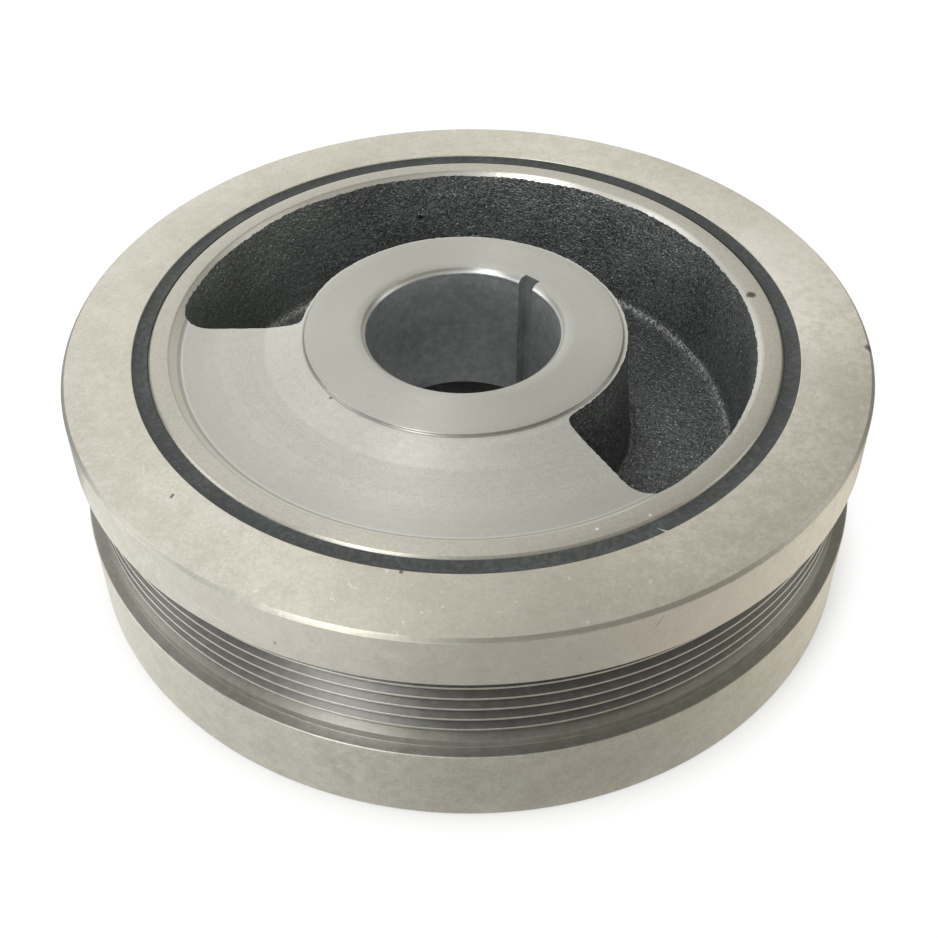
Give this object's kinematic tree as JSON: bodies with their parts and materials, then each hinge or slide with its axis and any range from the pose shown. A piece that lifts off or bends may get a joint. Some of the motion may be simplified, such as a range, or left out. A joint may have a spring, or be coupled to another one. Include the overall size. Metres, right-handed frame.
{
  "type": "harmonic balancer",
  "caption": "Crankshaft harmonic balancer: a heavy inertia ring with a ribbed belt track, bonded by a rubber ring to a bored and keyed hub whose cast-away side makes a counterweight.",
  "frame": {"origin": "on the bore axis, in the plane of the inertia ring's rear face, on which the part stands", "axes": "+Z along the bore axis, out of the front face that is seen with the balancer fitted; +X and +Y lie in the rear face, and the key slot points halfway between them"},
  "size_m": [0.206, 0.206, 0.061],
  "materials": {
    "hub_iron": "turned front faces, sand-cast pocket",
    "rubber": "matt",
    "ring_iron": "fine turned, satin"
  },
  "bodies": {
    "root": {"hub": "hub_iron", "rubber_ring": "rubber", "inertia_ring": "ring_iron"}
  },
  "joints": []
}
